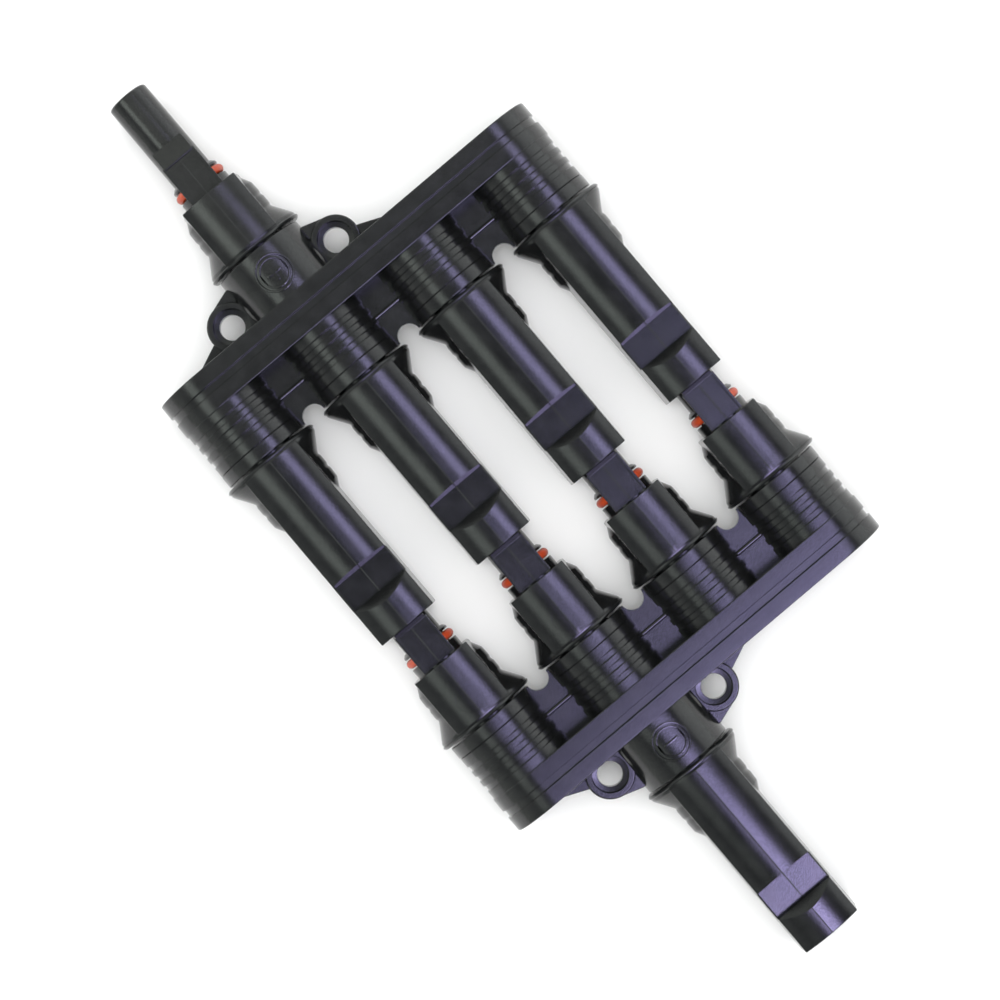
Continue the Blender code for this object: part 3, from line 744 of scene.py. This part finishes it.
def contact_bore():
    """The hole through a housing and its probe, with a lip that keeps the contact in."""
    tip = HOUSING_LENGTH + PROBE_LENGTH
    mouth = PROBE_LIP_RADIUS + PROBE_LIP_CHAMFER[0]
    lip = tip - PROBE_LIP_LENGTH
    low = -TAIL_LENGTH - OVERLAP
    corners = [
        (0, tip + SHORT_OVERLAP, 0),
        (mouth, tip + SHORT_OVERLAP, 0),
        (mouth, tip, 0),
        (PROBE_LIP_RADIUS, tip - PROBE_LIP_CHAMFER[1], 0),
        (PROBE_LIP_RADIUS, lip, 0),
        (CONTACT_BORE_RADIUS, lip, 0),
        (CONTACT_BORE_RADIUS, low, 0),
        (0, low, 0),
    ]
    return turned("contact_bore", corners)


def socket_housing(cut=()):
    block, wings = winged_form("socket_housing", HOUSING_LENGTH)
    return finished(merged(block, [*wings, probe()], [contact_bore(), *cut]))


def moulding_spot():
    """A faint ring left on the crown by a pin of the mould."""
    low = FORM_EDGE_Y
    high = FORM_CROWN_Y + SHORT_OVERLAP
    reach = SPOT_RADIUS + SHORT_OVERLAP
    ring = laid(plug("spot", SPOT_RADIUS, low, high), -1)
    inner = SPOT_RADIUS - SPOT_LINE
    inside = laid(plug("spot_inside", inner, low - SHORT_OVERLAP, high + SHORT_OVERLAP), -1)
    below = prism("spot_below", inset_outline(form_outline(), SPOT_DEPTH), -reach, reach)
    return moved(merged(ring, cut=[inside, below]), z=SPOT_AT)


def seal():
    """An O-ring: a round section turned round Z."""
    centre = HOUSING_LENGTH + SEAL_AT
    shape = bmesh.new()
    rows = []
    for step in range(ROUND_STEPS):
        around = math.tau * step / ROUND_STEPS
        row = []
        for side in range(SEAL_SECTION_STEPS):
            angle = math.tau * side / SEAL_SECTION_STEPS
            radius = SEAL_RADIUS + SEAL_SECTION_RADIUS * math.cos(angle)
            height = centre + SEAL_SECTION_RADIUS * math.sin(angle)
            row.append(shape.verts.new((radius * math.cos(around), radius * math.sin(around), height)))
        rows.append(row)
    for number, row in enumerate(rows):
        after = rows[(number + 1) % len(rows)]
        for side in range(SEAL_SECTION_STEPS):
            other = (side + 1) % SEAL_SECTION_STEPS
            shape.faces.new((row[side], after[side], after[other], row[other]))
    return finished(solid(shape, "seal"))


def latch_finger():
    """Y points away from the port's axis. A tray between two rails, then a barb with a sloping top."""
    half = FINGER_WIDTH / 2
    rail = half - FINGER_RAIL
    floor = FINGER_TOP - FINGER_TRAY
    right = [
        (half, FINGER_UNDER, 0.1),
        (half, FINGER_TOP, 0.15),
        (rail, FINGER_TOP, 0.1),
        (rail - FINGER_RAIL_SLOPE, floor, 0.08),
        (SEAM_HALF_WIDTH, floor, 0),
    ]
    left = [(-x, y, rounding) for x, y, rounding in right[::-1]]
    section = rounded([*right, (0.0, floor + FINGER_SEAM_HEIGHT, 0), *left], closed=True)
    strip = prism("finger_strip", section, FINGER_START, FINGER_BARB_AT + 0.5)
    under = FINGER_UNDER + 0.05
    side = [
        (FINGER_BARB_AT, under, 0.15),
        (FINGER_LENGTH, under, 0.15),
        (FINGER_LENGTH, FINGER_TIP_TOP, 0.15),
        (FINGER_BARB_AT + FINGER_BARB_CREST, FINGER_BARB_TOP, 0.3),
        (FINGER_BARB_AT, FINGER_BARB_TOP, 0.15),
    ]
    barb_half = half - FINGER_BARB_INSET
    barb = prism("finger_barb", rounded(side, closed=True), -barb_half, barb_half, "X", 0.12)
    return finished(merged(strip, [barb]))


# ---------------------------------------------------------------- contacts


def pin_contact(lead_length):
    """A pin with a tapered tip, a collar and a lead."""
    tip = SHELL_LENGTH - PIN_RECESS
    collar = SHELL_LENGTH - PROBE_BORE_DEPTH - PIN_HOLE_LENGTH - JOIN_GAP
    corners = [
        (0, tip, 0),
        (PIN_TIP_RADIUS, tip, 0.5),
        (PIN_RADIUS, tip - PIN_TIP_LENGTH, 1.0),
        (PIN_RADIUS, collar, 0),
        (PIN_COLLAR_RADIUS, collar, 0.15),
        (PIN_COLLAR_RADIUS, 0, 0.15),
        (LEAD_RADIUS, 0, 0),
        (LEAD_RADIUS, -lead_length, 0),
        (0, -lead_length, 0),
    ]
    return finished(turned("pin_contact", corners, SMALL_STEPS))


def socket_contact(lead_length):
    """A sleeve that takes the pin, with a groove inside for its contact band, and a lead."""
    tip = HOUSING_LENGTH + PROBE_LENGTH - PROBE_LIP_LENGTH - JOIN_GAP
    floor = tip - SOCKET_BORE_DEPTH
    sleeve_low = floor - SOCKET_FLOOR
    sleeve = [
        (0, tip, 0),
        (SOCKET_RADIUS, tip, 0.2),
        (SOCKET_RADIUS, sleeve_low, 0.1),
        (LEAD_RADIUS, sleeve_low, 0),
        (LEAD_RADIUS, -lead_length, 0),
        (0, -lead_length, 0),
    ]
    mouth = SOCKET_BORE_RADIUS + SOCKET_CHAMFER[0]
    groove_high = tip - BAND_AT
    groove_low = groove_high - BAND_LENGTH
    bore = [
        (0, tip + SHORT_OVERLAP, 0),
        (mouth, tip + SHORT_OVERLAP, 0),
        (mouth, tip, 0),
        (SOCKET_BORE_RADIUS, tip - SOCKET_CHAMFER[1], 0),
        (SOCKET_BORE_RADIUS, groove_high, 0),
        (BAND_GROOVE_RADIUS, groove_high, 0),
        (BAND_GROOVE_RADIUS, groove_low, 0),
        (SOCKET_BORE_RADIUS, groove_low, 0),
        (SOCKET_BORE_RADIUS, floor, 0),
        (0, floor, 0),
    ]
    solid_sleeve = turned("socket_contact", sleeve, SMALL_STEPS)
    return finished(merged(solid_sleeve, cut=[turned("socket_bore", bore, SMALL_STEPS)]))


# ---------------------------------------------------------------- materials


class Nodes:
    """Short hands for building a material's nodes."""

    def __init__(self, name):
        self.material = bpy.data.materials.new(name)
        self.material.use_nodes = True
        self.tree = self.material.node_tree
        self.shader = self.tree.nodes["Principled BSDF"]
        self.place = self.new("ShaderNodeTexCoord").outputs["Object"]

    def new(self, kind, **settings):
        node = self.tree.nodes.new(kind)
        for key, value in settings.items():
            setattr(node, key, value)
        return node

    def link(self, source, target):
        self.tree.links.new(source, target)

    def noise(self, scale, detail=2.0, roughness=0.5):
        node = self.new("ShaderNodeTexNoise")
        node.inputs["Scale"].default_value = scale
        node.inputs["Detail"].default_value = detail
        node.inputs["Roughness"].default_value = roughness
        self.link(self.place, node.inputs["Vector"])
        return node.outputs["Fac"]

    def ranged(self, source, low, high, from_low=0.0, from_high=1.0, kind="LINEAR"):
        """The source, mapped to the range from low to high."""
        node = self.new("ShaderNodeMapRange", interpolation_type=kind)
        node.inputs["From Min"].default_value = from_low
        node.inputs["From Max"].default_value = from_high
        node.inputs["To Min"].default_value = low
        node.inputs["To Max"].default_value = high
        self.link(source, node.inputs["Value"])
        return node.outputs["Result"]

    def smooth(self, source, dark, bright):
        """A smooth step from 0 where the source is dark to 1 where it is bright."""
        return self.ranged(source, 0.0, 1.0, dark, bright, "SMOOTHSTEP")

    def mixed(self, factor, first, second):
        """Two fixed colours, mixed by a factor."""
        node = self.new("ShaderNodeMix", data_type="RGBA")
        self.link(factor, node.inputs["Factor"])
        for name, colour in (("A", first), ("B", second)):
            socket = next(s for s in node.inputs if s.name == name and s.type == "RGBA")
            socket.default_value = (*colour, 1.0)
        return next(s for s in node.outputs if s.type == "RGBA")

    def bumped(self, height, strength, distance):
        node = self.new("ShaderNodeBump")
        node.inputs["Strength"].default_value = strength
        node.inputs["Distance"].default_value = distance
        self.link(height, node.inputs["Height"])
        return node.outputs["Normal"]

    def product(self, factors):
        """All the factors, multiplied together."""
        result = factors[0]
        for factor in factors[1:]:
            node = self.new("ShaderNodeMath", operation="MULTIPLY")
            self.link(result, node.inputs[0])
            self.link(factor, node.inputs[1])
            result = node.outputs[0]
        return result

    def added(self, amount, colour, radiance):
        """The colour, with an amount of a fixed radiance added to it."""
        node = self.new("ShaderNodeMix", data_type="RGBA", blend_type="ADD", clamp_result=False)
        sockets = {s.name: s for s in node.inputs if s.type == "RGBA"}
        self.link(amount, node.inputs["Factor"])
        self.link(colour, sockets["A"])
        sockets["B"].default_value = (*radiance, 1.0)
        return next(s for s in node.outputs if s.type == "RGBA")

    def along(self, direction):
        """How far a place lies along a direction."""
        node = self.new("ShaderNodeVectorMath", operation="DOT_PRODUCT")
        self.link(self.place, node.inputs[0])
        node.inputs[1].default_value = direction
        return node.outputs["Value"]

    def settings(self, **values):
        for name, value in values.items():
            self.shader.inputs[name.replace("_", " ")].default_value = value


def plastic_material(name, roughness):
    """Black glass-filled nylon: near black, with a fine grain and faint flow marks."""
    dark = (0.0058, 0.0061, 0.0064)
    light = (0.0098, 0.0103, 0.0103)
    made = Nodes(name)
    grain = made.noise(scale=3800.0, detail=1.0, roughness=0.6)
    flow = made.noise(scale=260.0, detail=3.0, roughness=0.55)
    noise_range = (0.3, 0.7)
    colour = made.mixed(made.ranged(flow, 0.0, 1.0, *noise_range), dark, light)
    made.link(colour, made.shader.inputs["Base Color"])
    spread = made.ranged(flow, roughness * 0.9, roughness * 1.15, *noise_range)
    made.link(spread, made.shader.inputs["Roughness"])
    made.link(made.bumped(grain, strength=0.6, distance=0.00003), made.shader.inputs["Normal"])
    made.link(made.ranged(grain, 0.37, 0.63, *noise_range), made.shader.inputs["Specular IOR Level"])
    return made.material


def seal_material():
    """Orange-red silicone."""
    dark = (0.42, 0.040, 0.006)
    light = (0.56, 0.065, 0.010)
    made = Nodes("seal_silicone")
    tone = made.noise(scale=900.0)
    made.link(made.mixed(tone, dark, light), made.shader.inputs["Base Color"])
    made.link(made.ranged(tone, 0.38, 0.5), made.shader.inputs["Roughness"])
    made.link(made.bumped(tone, strength=0.15, distance=0.00005), made.shader.inputs["Normal"])
    made.settings(Subsurface_Weight=0.05, Subsurface_Scale=0.0004)
    return made.material


def metal_material(name, dark, light):
    """Drawn metal, with fine marks along it."""
    made = Nodes(name)
    tone = made.noise(scale=700.0, detail=4.0, roughness=0.6)
    marks = made.noise(scale=3500.0)
    made.link(made.mixed(tone, dark, light), made.shader.inputs["Base Color"])
    made.link(made.ranged(tone, 0.2, 0.38), made.shader.inputs["Roughness"])
    made.link(made.bumped(marks, strength=0.12, distance=0.00003), made.shader.inputs["Normal"])
    made.settings(Metallic=1.0)
    return made.material


PLASTIC = plastic_material("black_plastic", roughness=0.16)
TEXTURED = plastic_material("textured_plastic", roughness=0.17)
SEAL = seal_material()
TINNED = metal_material("tinned_copper", dark=(0.60, 0.59, 0.56), light=(0.80, 0.79, 0.76))
BRASS = metal_material("plain_brass", dark=(0.62, 0.44, 0.19), light=(0.78, 0.60, 0.31))

# ---------------------------------------------------------------- placing


def shown(name, mesh, material, matrix, node, body):
    """Shows a piece that rides on a body, in place of a CAD node if it has one."""
    if not mesh.materials:
        mesh.materials.append(material)
    piece = bpy.data.objects.new(name, mesh)
    bpy.context.scene.collection.objects.link(piece)
    piece.matrix_world = matrix
    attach(piece, body)
    if node:
        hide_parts(node)


def upright_at(x, y, direction):
    """Where a port piece goes: its Z points along +Y or -Y from the end of its barrel."""
    place = Matrix.Translation((x * MM, y * MM, AXIS_HEIGHT * MM))
    return place @ Matrix.Rotation(-direction * math.pi / 2, 4, "X")


def show_port(pieces, half, name, suffix, matrix):
    """Shows (kind, mesh, material, slot) pieces that lie in the same place as a port's CAD nodes."""
    for kind, mesh, material, slot in pieces:
        node = f"{name}_{kind}{suffix}"
        shown(node + "_form", mesh, material, matrix, node, half)


def show_latches(name, suffix, matrix):
    """Shows the top and the bottom latch finger of a socket port, each on its own body."""
    y_points_up = matrix.to_3x3().col[1].z > 0
    face = matrix @ Matrix.Translation((0, 0, HOUSING_LENGTH * MM))
    for end, is_along_y in (("top", y_points_up), ("bottom", not y_points_up)):
        node = f"{name}_latch{suffix}_{end}"
        place = face @ Matrix.Rotation(0.0 if is_along_y else math.pi, 4, "Z")
        shown(node + "_form", LATCH_FINGER, PLASTIC, place, node, node + "_finger")


def show_half(half, toward_trunk):
    """Shows one half, whose trunk side faces +Y or -Y. Only the pin branch's trunk side faces +Y."""
    is_pin_branch = toward_trunk > 0
    middle = Matrix.Translation((0, SPINE_YS[half] * MM, AXIS_HEIGHT * MM))
    turn = Matrix.Rotation(0.0 if is_pin_branch else math.pi, 4, "X")
    shown(half + "_body_form", BODY, TEXTURED, middle @ turn, half + "_body", half)
    out = toward_trunk * (SPINE_DEPTH / 2 + MARK_OUT) * MM
    mark_place = middle @ Matrix.Translation((TRUNK_X * MM, out, 0))
    shown(half + "_mark", polarity_mark(is_pin_branch), TEXTURED, mark_place, None, half)
    for number, x in enumerate(PORT_XS, 1):
        port = upright_at(x, PORT_RIMS[half], -toward_trunk)
        show_port(PIN_PORT if is_pin_branch else SOCKET_PORT, half, half, f"_{number}", port)
        if not is_pin_branch:
            show_latches(half, f"_{number}", port)
    trunk = upright_at(TRUNK_X, TRUNK_RIMS[half], toward_trunk)
    show_port(SOCKET_TRUNK if is_pin_branch else PIN_TRUNK, half, half + "_trunk", "", trunk)
    if is_pin_branch:
        show_latches(half + "_trunk", "", trunk)


PORT_LEAD = SPINE_DEPTH / 2 + PORT_BARREL_LENGTH - BUSBAR_HALF_DEPTH - JOIN_GAP
TRUNK_LEAD = SPINE_DEPTH / 2 + TRUNK_BARREL_LENGTH - BUSBAR_HALF_DEPTH - JOIN_GAP
BODY = branch_body()
LATCH_FINGER = latch_finger()
SHELL_PIECE = ("shell", pin_shell(), PLASTIC, "plastic")
SEAL_PIECE = ("seal", seal(), SEAL, "seal")
PIN_PORT = (SHELL_PIECE, ("pin", pin_contact(PORT_LEAD), TINNED, "contact"))
PIN_TRUNK = (SHELL_PIECE, ("pin", pin_contact(TRUNK_LEAD), TINNED, "contact"))
SOCKET_PORT = (
    ("housing", socket_housing(cut=[moulding_spot()]), PLASTIC, "plastic"),
    ("socket", socket_contact(PORT_LEAD), TINNED, "contact"),
    SEAL_PIECE,
)
SOCKET_TRUNK = (
    ("housing", socket_housing(), PLASTIC, "plastic"),
    ("socket", socket_contact(TRUNK_LEAD), TINNED, "contact"),
    SEAL_PIECE,
)
show_half("pin_branch", 1)
show_half("socket_branch", -1)

# Busbars and contact bands keep their CAD solids, out of sight
for name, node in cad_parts.items():
    if "busbar" in name or "_band" in name:
        node.data.materials.clear()
        node.data.materials.append(BRASS)

# ---------------------------------------------------------------- stage, light and camera

FLOOR_SIZE = 4.0
FLOOR_GAP = 0.00002
FLOOR_DARK = (0.90, 0.905, 0.90)
FLOOR_LIGHT = (0.93, 0.935, 0.93)
ROLL = math.radians(40.24)
CAMERA_PLACE = (-0.00822, -0.00113, 0.782)
CAMERA_ANGLE = math.radians(16.34)
LIGHT_HEIGHT = 1.3

# What glossy surfaces mirror from the sides, below the softbox
HORIZON = (0.75, 0.80, 0.76)
ZENITH = (0.24, 0.26, 0.27)
RIGHT_GLOW = (1.0, 1.03, 1.06)

SOFTBOX_PLACE = (CAMERA_PLACE[0], CAMERA_PLACE[1], 0.78)
SOFTBOX_SIZE = 1.8
SOFTBOX_CEILING = (0.13, 0.14, 0.15)
SOFTBOX_FAR_END = (0.95, 1.0, 0.93)
SOFTBOX_FAR_EDGE = (0.06, 0.26)
# Each patch of light: where it goes from dark to bright along x and along y, in metres from the
# panel's middle, and its radiance
SOFTBOX_PATCHES = (
    # The violet band, its brightest end, and two violet patches further out
    (((0.46, 0.16), (-0.24, 0.16)), ((-0.60, -0.40), (-0.05, -0.12)), (3.6, 3.3, 6.2)),
    (((0.46, 0.16), (-0.24, 0.0)), ((-0.60, -0.40), (-0.185, -0.235)), (7.5, 6.5, 12.0)),
    (((0.20, 0.38), (0.66, 0.46)), ((0.21, 0.08), (-0.16, -0.06)), (4.5, 4.2, 7.5)),
    (((0.05, 0.11), (0.24, 0.14)), ((0.03, -0.01), (-0.06, -0.03)), (2.6, 2.5, 4.6)),
    # The pale green glow
    (((-0.80, -0.60), (-0.26, -0.44)), ((-0.28, 0.02),), (1.7, 1.9, 1.75)),
)


def studio_floor():
    bpy.ops.mesh.primitive_plane_add(size=FLOOR_SIZE, location=(0.0, 0.0, -FLOOR_GAP))
    floor = bpy.context.object
    floor.name = "floor"
    made = Nodes("floor_paper")
    tone = made.noise(scale=30.0)
    made.link(made.mixed(tone, FLOOR_DARK, FLOOR_LIGHT), made.shader.inputs["Base Color"])
    made.settings(Roughness=0.9, Specular_IOR_Level=0.1)
    floor.data.materials.append(made.material)


class WorldNodes(Nodes):
    """The same short hands for the world, where a place is a direction to look in."""

    def __init__(self):
        self.world = bpy.data.worlds.new("studio")
        bpy.context.scene.world = self.world
        self.world.use_nodes = True
        self.tree = self.world.node_tree
        self.shader = self.tree.nodes["Background"]
        self.place = self.new("ShaderNodeTexCoord").outputs["Generated"]


def studio_world():
    """A pale horizon that dims with height and is brighter on the right."""
    made = WorldNodes()
    height = made.along((0.0, 0.0, 1.0))
    surround = made.mixed(made.smooth(height, 0.1, 0.75), HORIZON, ZENITH)
    right = made.smooth(made.along((1.0, 0.0, 0.0)), 0.2, 0.6)
    below_panel = made.smooth(height, 0.8, 0.5)
    surround = made.added(made.product([right, below_panel]), surround, RIGHT_GLOW)
    made.link(surround, made.shader.inputs["Color"])
    made.world.cycles_visibility.diffuse = False


def softbox():
    """The dim ceiling that glossy surfaces mirror. It glows violet on its right and pale green on its
    left, and its far end is bright."""
    bpy.ops.mesh.primitive_plane_add(size=SOFTBOX_SIZE, location=SOFTBOX_PLACE)
    panel = bpy.context.object
    panel.name = "softbox"
    made = Nodes("softbox_glow")
    x = made.along((1.0, 0.0, 0.0))
    y = made.along((0.0, 1.0, 0.0))
    glow = made.mixed(made.smooth(y, *SOFTBOX_FAR_EDGE), SOFTBOX_CEILING, SOFTBOX_FAR_END)
    for x_edges, y_edges, radiance in SOFTBOX_PATCHES:
        steps = [made.smooth(x, dark, bright) for dark, bright in x_edges]
        steps += [made.smooth(y, dark, bright) for dark, bright in y_edges]
        glow = made.added(made.product(steps), glow, radiance)
    made.link(glow, made.shader.inputs["Emission Color"])
    made.settings(Base_Color=(0.0, 0.0, 0.0, 1.0), Specular_IOR_Level=0.0, Emission_Strength=1.0)
    panel.data.materials.append(made.material)
    panel.visible_camera = False
    panel.visible_diffuse = False
    panel.visible_shadow = False


def overhead_light(name, size, power):
    """A square light over the object, for the floor and the matt side of each surface."""
    light = bpy.data.lights.new(name, "AREA")
    light.shape = "SQUARE"
    light.size = size
    light.energy = power
    lamp = bpy.data.objects.new(name, light)
    lamp.location = (0.0, 0.0, LIGHT_HEIGHT)
    lamp.visible_glossy = False
    lamp.visible_camera = False
    bpy.context.scene.collection.objects.link(lamp)


def studio_camera():
    lens = bpy.data.cameras.new("camera")
    lens.sensor_width = 36.0
    lens.angle = CAMERA_ANGLE
    camera = bpy.data.objects.new("camera", lens)
    camera.location = CAMERA_PLACE
    camera.rotation_euler = (0.0, 0.0, -ROLL)
    bpy.context.scene.collection.objects.link(camera)
    bpy.context.scene.camera = camera


studio_floor()
studio_world()
softbox()
overhead_light("fill", size=2.4, power=50.0)
overhead_light("centre", size=0.3, power=3.0)
studio_camera()
bpy.context.scene.view_settings.view_transform = "Standard"
